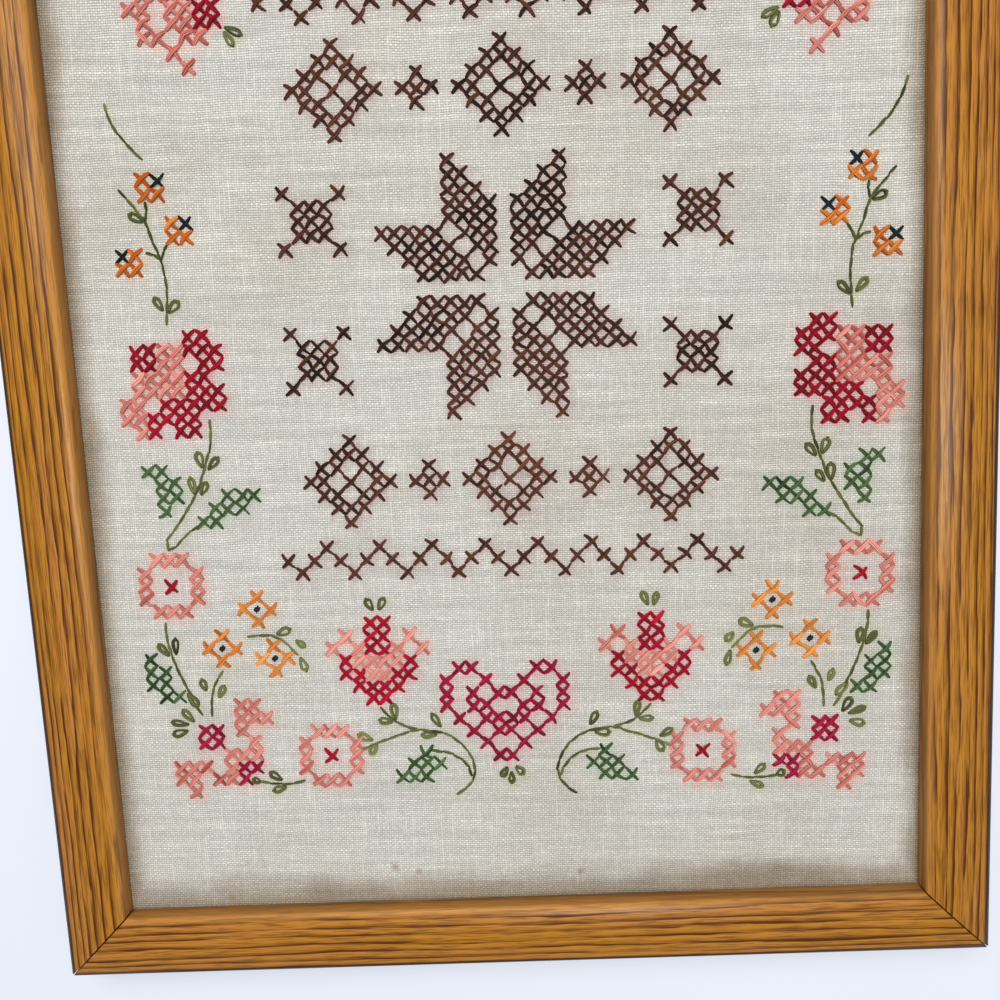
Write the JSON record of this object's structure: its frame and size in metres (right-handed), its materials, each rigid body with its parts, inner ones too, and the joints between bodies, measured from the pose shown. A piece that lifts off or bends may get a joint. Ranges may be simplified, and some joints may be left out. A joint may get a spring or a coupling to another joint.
{
  "type": "framed cross stitch sampler",
  "caption": "Cross stitch sampler on stretched plain-weave linen in a mitred oak frame, lying on its back.",
  "frame": {"origin": "middle of the frame's back, on the surface that it lies on", "axes": "+X to the picture's right, +Y to its top, +Z out of its face"},
  "size_m": [0.254, 0.3302, 0.0159],
  "materials": {
    "oak": "satin",
    "linen": "matte",
    "board": "matte"
  },
  "bodies": {
    "root": {"rail_bottom": "oak", "rail_right": "oak", "rail_top": "oak", "rail_left": "oak", "linen": "linen", "backing_board": "board"}
  },
  "joints": []
}
